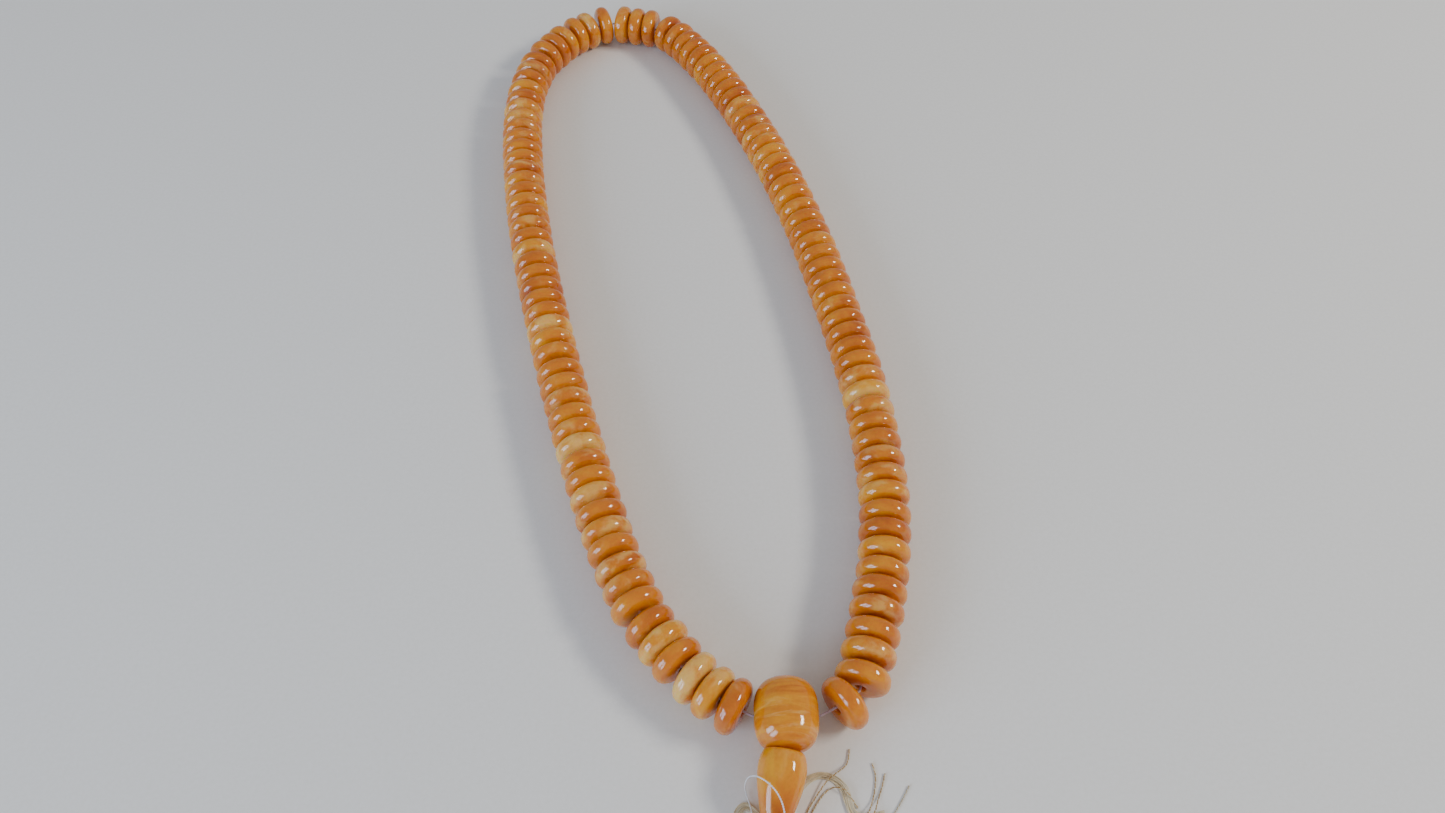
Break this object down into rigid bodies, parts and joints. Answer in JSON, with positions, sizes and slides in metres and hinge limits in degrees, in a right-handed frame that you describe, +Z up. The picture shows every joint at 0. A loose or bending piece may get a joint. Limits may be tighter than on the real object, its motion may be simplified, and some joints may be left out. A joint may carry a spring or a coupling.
{
  "type": "prayer bead necklace",
  "caption": "Loop of flat round amber beads on a cord, closed by a three-way barrel bead with a tapered tower bead and loose thread ends.",
  "frame": {"origin": "on the floor, under the middle of the box round everything but the loose thread ends", "axes": "+Y from the guru bead towards the far end of the loop, along its longest extent; +Z up, the shortest extent; +X to the right"},
  "size_m": [0.1324, 0.3308, 0.0154],
  "materials": {
    "guru_amber": "polished amber resin with fine cream bands",
    "mauve_cord": "thin translucent mauve cord",
    "tower_amber": "polished translucent amber resin, redder at the thin end",
    "white_thread": "twisted silvery white thread",
    "beige_floss": "flat matt beige floss",
    "gold_thread": "twisted gold and silver thread",
    "silver_thread": "twisted silvery thread",
    "bead_amber": "polished translucent amber resin",
    "bead_honey": "polished translucent honey resin",
    "bead_deep_amber": "polished translucent deep amber resin",
    "bead_cream_amber": "polished amber resin with cream clouds"
  },
  "bodies": {
    "guru": {"guru_bead": "guru_amber", "guru_cross_cord": "mauve_cord"},
    "pendant": {"stem_cord": "mauve_cord", "end_knot": "mauve_cord", "tail_floss": "beige_floss", "tail_floss_short": "beige_floss", "tail_gold_1": "gold_thread", "tail_gold_2": "gold_thread", "tail_gold_3": "gold_thread", "tail_gold_4": "gold_thread", "tail_silver": "silver_thread", "tail_white_loop": "white_thread"},
    "tower": {"tower_bead": "tower_amber"},
    "left_lower_link": {"left_lower_cord": "mauve_cord"},
    "left_upper_link": {"left_upper_cord": "mauve_cord"},
    "top_link": {"top_cord": "mauve_cord"},
    "right_lower_link": {"right_lower_cord": "mauve_cord"},
    "right_upper_link": {"right_upper_cord": "mauve_cord"},
    "bead_001_body": {"bead_001": "bead_amber"},
    "bead_002_body": {"bead_002": "bead_honey"},
    "beads_003_004_body": {"beads_003_004": "bead_deep_amber"},
    "beads_005_007_body": {"beads_005_007": "bead_cream_amber"},
    "beads_008_010_body": {"beads_008_010": "bead_amber"},
    "beads_011_013_body": {"beads_011_013": "bead_honey"},
    "beads_014_016_body": {"beads_014_016": "bead_deep_amber"},
    "beads_017_019_body": {"beads_017_019": "bead_cream_amber"},
    "beads_020_022_body": {"beads_020_022": "bead_amber"},
    "beads_023_025_body": {"beads_023_025": "bead_honey"},
    "beads_026_028_body": {"beads_026_028": "bead_deep_amber"},
    "beads_029_031_body": {"beads_029_031": "bead_cream_amber"},
    "beads_032_034_body": {"beads_032_034": "bead_amber"},
    "beads_035_037_body": {"beads_035_037": "bead_honey"},
    "beads_038_040_body": {"beads_038_040": "bead_deep_amber"},
    "beads_041_043_body": {"beads_041_043": "bead_cream_amber"},
    "beads_044_046_body": {"beads_044_046": "bead_amber"},
    "beads_047_049_body": {"beads_047_049": "bead_honey"},
    "bead_050_body": {"bead_050": "bead_deep_amber"},
    "bead_051_body": {"bead_051": "bead_cream_amber"},
    "beads_052_054_body": {"beads_052_054": "bead_amber"},
    "bead_055_body": {"bead_055": "bead_honey"},
    "beads_056_057_body": {"beads_056_057": "bead_deep_amber"},
    "beads_058_060_body": {"beads_058_060": "bead_cream_amber"},
    "beads_061_063_body": {"beads_061_063": "bead_amber"},
    "beads_064_066_body": {"beads_064_066": "bead_honey"},
    "beads_067_069_body": {"beads_067_069": "bead_deep_amber"},
    "beads_070_072_body": {"beads_070_072": "bead_cream_amber"},
    "beads_073_075_body": {"beads_073_075": "bead_amber"},
    "beads_076_078_body": {"beads_076_078": "bead_honey"},
    "beads_079_081_body": {"beads_079_081": "bead_deep_amber"},
    "beads_082_084_body": {"beads_082_084": "bead_cream_amber"},
    "beads_085_087_body": {"beads_085_087": "bead_amber"},
    "beads_088_090_body": {"beads_088_090": "bead_honey"},
    "beads_091_093_body": {"beads_091_093": "bead_deep_amber"},
    "beads_094_096_body": {"beads_094_096": "bead_cream_amber"},
    "beads_097_099_body": {"beads_097_099": "bead_amber"},
    "beads_100_102_body": {"beads_100_102": "bead_honey"},
    "beads_103_105_body": {"beads_103_105": "bead_deep_amber"},
    "bead_106_body": {"bead_106": "bead_cream_amber"},
    "bead_107_body": {"bead_107": "bead_amber"},
    "bead_108_body": {"bead_108": "bead_honey"}
  },
  "joints": [
    {"name": "pendant_swing", "type": "hinge", "parent": "guru", "child": "pendant", "pos_m": [0.03, -0.1332, 0.0077], "axis": [0, 0, 1], "range_deg": [-2, 8]},
    {"name": "tower_spin", "type": "hinge", "parent": "pendant", "child": "tower", "pos_m": [0.02734, -0.14866, 0.00547], "axis": [-0.1617, -0.9702, -0.1807], "continuous": true},
    {"name": "left_lower_flex", "type": "hinge", "parent": "guru", "child": "left_lower_link", "pos_m": [0.0218, -0.1282, 0.007], "axis": [0, 0, 1], "range_deg": [-5, 5]},
    {"name": "left_upper_flex", "type": "hinge", "parent": "left_lower_link", "child": "left_upper_link", "pos_m": [-0.03464, -0.02145, 0.007], "axis": [0, 0, 1], "range_deg": [-10, 10]},
    {"name": "top_flex", "type": "hinge", "parent": "left_upper_link", "child": "top_link", "pos_m": [-0.0298, 0.15763, 0.007], "axis": [0, 0, 1], "range_deg": [-5, 5]},
    {"name": "right_lower_flex", "type": "hinge", "parent": "guru", "child": "right_lower_link", "pos_m": [0.0382, -0.1282, 0.007], "axis": [0, 0, 1], "range_deg": [-5, 5]},
    {"name": "right_upper_flex", "type": "hinge", "parent": "right_lower_link", "child": "right_upper_link", "pos_m": [0.04021, 0.04861, 0.007], "axis": [0, 0, 1], "range_deg": [-10, 10]},
    {"name": "bead_001_slide", "type": "slide", "parent": "right_lower_link", "child": "bead_001_body", "axis": [-0.7796, -0.6263, 0], "range_m": [0, 0.0011]},
    {"name": "bead_002_spin", "type": "hinge", "parent": "right_lower_link", "child": "bead_002_body", "pos_m": [0.04913, -0.11886, 0.007], "axis": [0.3184, 0.9479, 0], "continuous": true},
    {"name": "beads_003_004_spin", "type": "hinge", "parent": "right_lower_link", "child": "beads_003_004_body", "pos_m": [0.05178, -0.11002, 0.007], "axis": [0.2696, 0.963, 0], "continuous": true},
    {"name": "beads_005_007_spin", "type": "hinge", "parent": "right_lower_link", "child": "beads_005_007_body", "pos_m": [0.05532, -0.09587, 0.007], "axis": [0.2241, 0.9746, 0], "continuous": true},
    {"name": "beads_008_010_spin", "type": "hinge", "parent": "right_lower_link", "child": "beads_008_010_body", "pos_m": [0.05825, -0.07871, 0.007], "axis": [0.1123, 0.9937, 0], "continuous": true},
    {"name": "beads_011_013_spin", "type": "hinge", "parent": "right_lower_link", "child": "beads_011_013_body", "pos_m": [0.05908, -0.06134, 0.007], "axis": [-0.0172, 0.9999, 0], "continuous": true},
    {"name": "beads_014_016_spin", "type": "hinge", "parent": "right_lower_link", "child": "beads_014_016_body", "pos_m": [0.05824, -0.04407, 0.007], "axis": [-0.0802, 0.9968, 0], "continuous": true},
    {"name": "beads_017_019_spin", "type": "hinge", "parent": "right_lower_link", "child": "beads_017_019_body", "pos_m": [0.05632, -0.02699, 0.007], "axis": [-0.1426, 0.9898, 0], "continuous": true},
    {"name": "beads_020_022_spin", "type": "hinge", "parent": "right_lower_link", "child": "beads_020_022_body", "pos_m": [0.05345, -0.01008, 0.007], "axis": [-0.1928, 0.9812, 0], "continuous": true},
    {"name": "beads_023_025_spin", "type": "hinge", "parent": "right_lower_link", "child": "beads_023_025_body", "pos_m": [0.05012, 0.00662, 0.007], "axis": [-0.1981, 0.9802, 0], "continuous": true},
    {"name": "beads_026_028_spin", "type": "hinge", "parent": "right_lower_link", "child": "beads_026_028_body", "pos_m": [0.04656, 0.0233, 0.007], "axis": [-0.2192, 0.9757, 0], "continuous": true},
    {"name": "beads_029_031_spin", "type": "hinge", "parent": "right_lower_link", "child": "beads_029_031_body", "pos_m": [0.04251, 0.03991, 0.007], "axis": [-0.2548, 0.967, 0], "continuous": true},
    {"name": "beads_032_034_spin", "type": "hinge", "parent": "right_upper_link", "child": "beads_032_034_body", "pos_m": [0.03763, 0.05724, 0.007], "axis": [-0.2875, 0.9578, 0], "continuous": true},
    {"name": "beads_035_037_spin", "type": "hinge", "parent": "right_upper_link", "child": "beads_035_037_body", "pos_m": [0.03238, 0.07354, 0.007], "axis": [-0.3257, 0.9455, 0], "continuous": true},
    {"name": "beads_038_040_spin", "type": "hinge", "parent": "right_upper_link", "child": "beads_038_040_body", "pos_m": [0.02651, 0.08962, 0.007], "axis": [-0.3597, 0.9331, 0], "continuous": true},
    {"name": "beads_041_043_spin", "type": "hinge", "parent": "right_upper_link", "child": "beads_041_043_body", "pos_m": [0.02001, 0.10547, 0.007], "axis": [-0.3986, 0.9171, 0], "continuous": true},
    {"name": "beads_044_046_spin", "type": "hinge", "parent": "right_upper_link", "child": "beads_044_046_body", "pos_m": [0.01278, 0.12104, 0.007], "axis": [-0.4438, 0.8961, 0], "continuous": true},
    {"name": "beads_047_049_spin", "type": "hinge", "parent": "right_upper_link", "child": "beads_047_049_body", "pos_m": [0.00419, 0.13618, 0.007], "axis": [-0.5401, 0.8416, 0], "continuous": true},
    {"name": "bead_050_spin", "type": "hinge", "parent": "right_upper_link", "child": "bead_050_body", "pos_m": [-0.00248, 0.14593, 0.007], "axis": [-0.6344, 0.773, 0], "continuous": true},
    {"name": "bead_051_spin", "type": "hinge", "parent": "right_upper_link", "child": "bead_051_body", "pos_m": [-0.00673, 0.15044, 0.007], "axis": [-0.7323, 0.681, 0], "continuous": true},
    {"name": "beads_052_054_spin", "type": "hinge", "parent": "top_link", "child": "beads_052_054_body", "pos_m": [-0.01959, 0.1555, 0.007], "axis": [-0.9739, 0.2269, 0], "continuous": true},
    {"name": "bead_055_spin", "type": "hinge", "parent": "left_upper_link", "child": "bead_055_body", "pos_m": [-0.03351, 0.15628, 0.007], "axis": [-0.931, -0.3649, 0], "continuous": true},
    {"name": "beads_056_057_spin", "type": "hinge", "parent": "left_upper_link", "child": "beads_056_057_body", "pos_m": [-0.04158, 0.15104, 0.007], "axis": [-0.7753, -0.6316, 0], "continuous": true},
    {"name": "beads_058_060_spin", "type": "hinge", "parent": "left_upper_link", "child": "beads_058_060_body", "pos_m": [-0.05135, 0.1391, 0.007], "axis": [-0.5211, -0.8535, 0], "continuous": true},
    {"name": "beads_061_063_spin", "type": "hinge", "parent": "left_upper_link", "child": "beads_061_063_body", "pos_m": [-0.05772, 0.12226, 0.007], "axis": [-0.1695, -0.9855, 0], "continuous": true},
    {"name": "beads_064_066_spin", "type": "hinge", "parent": "left_upper_link", "child": "beads_064_066_body", "pos_m": [-0.05911, 0.10462, 0.007], "axis": [0.016, -0.9999, 0], "continuous": true},
    {"name": "beads_067_069_spin", "type": "hinge", "parent": "left_upper_link", "child": "beads_067_069_body", "pos_m": [-0.05802, 0.08734, 0.007], "axis": [0.1109, -0.9938, 0], "continuous": true},
    {"name": "beads_070_072_spin", "type": "hinge", "parent": "left_upper_link", "child": "beads_070_072_body", "pos_m": [-0.05577, 0.07034, 0.007], "axis": [0.1517, -0.9884, 0], "continuous": true},
    {"name": "beads_073_075_spin", "type": "hinge", "parent": "left_upper_link", "child": "beads_073_075_body", "pos_m": [-0.05292, 0.05349, 0.007], "axis": [0.1815, -0.9834, 0], "continuous": true},
    {"name": "beads_076_078_spin", "type": "hinge", "parent": "left_upper_link", "child": "beads_076_078_body", "pos_m": [-0.0496, 0.03674, 0.007], "axis": [0.2078, -0.9782, 0], "continuous": true},
    {"name": "beads_079_081_spin", "type": "hinge", "parent": "left_upper_link", "child": "beads_079_081_body", "pos_m": [-0.04577, 0.02009, 0.007], "axis": [0.2407, -0.9706, 0], "continuous": true},
    {"name": "beads_082_084_spin", "type": "hinge", "parent": "left_upper_link", "child": "beads_082_084_body", "pos_m": [-0.04153, 0.00359, 0.007], "axis": [0.2573, -0.9663, 0], "continuous": true},
    {"name": "beads_085_087_spin", "type": "hinge", "parent": "left_upper_link", "child": "beads_085_087_body", "pos_m": [-0.03705, -0.01282, 0.007], "axis": [0.2688, -0.9632, 0], "continuous": true},
    {"name": "beads_088_090_spin", "type": "hinge", "parent": "left_lower_link", "child": "beads_088_090_body", "pos_m": [-0.0321, -0.03005, 0.007], "axis": [0.2835, -0.959, 0], "continuous": true},
    {"name": "beads_091_093_spin", "type": "hinge", "parent": "left_lower_link", "child": "beads_091_093_body", "pos_m": [-0.02711, -0.04634, 0.007], "axis": [0.3024, -0.9532, 0], "continuous": true},
    {"name": "beads_094_096_spin", "type": "hinge", "parent": "left_lower_link", "child": "beads_094_096_body", "pos_m": [-0.02184, -0.06253, 0.007], "axis": [0.3167, -0.9485, 0], "continuous": true},
    {"name": "beads_097_099_spin", "type": "hinge", "parent": "left_lower_link", "child": "beads_097_099_body", "pos_m": [-0.01616, -0.07868, 0.007], "axis": [0.3472, -0.9378, 0], "continuous": true},
    {"name": "beads_100_102_spin", "type": "hinge", "parent": "left_lower_link", "child": "beads_100_102_body", "pos_m": [-0.00947, -0.09464, 0.007], "axis": [0.4245, -0.9054, 0], "continuous": true},
    {"name": "beads_103_105_spin", "type": "hinge", "parent": "left_lower_link", "child": "beads_103_105_body", "pos_m": [-0.00004, -0.10974, 0.007], "axis": [0.6221, -0.7829, 0], "continuous": true},
    {"name": "bead_106_spin", "type": "hinge", "parent": "left_lower_link", "child": "bead_106_body", "pos_m": [0.00797, -0.11881, 0.007], "axis": [0.7748, -0.6322, 0], "continuous": true},
    {"name": "bead_107_spin", "type": "hinge", "parent": "left_lower_link", "child": "bead_107_body", "pos_m": [0.01249, -0.12254, 0.007], "axis": [0.7688, -0.6394, 0], "continuous": true},
    {"name": "bead_108_spin", "type": "hinge", "parent": "left_lower_link", "child": "bead_108_body", "pos_m": [0.01777, -0.12609, 0.007], "axis": [0.8742, -0.4856, 0], "continuous": true}
  ],
  "couplings": [
    {"joint": "left_upper_flex", "follows": "left_lower_flex", "ratio": -2},
    {"joint": "top_flex", "follows": "left_lower_flex", "ratio": 1},
    {"joint": "right_lower_flex", "follows": "left_lower_flex", "ratio": -1},
    {"joint": "right_upper_flex", "follows": "left_lower_flex", "ratio": 2}
  ]
}
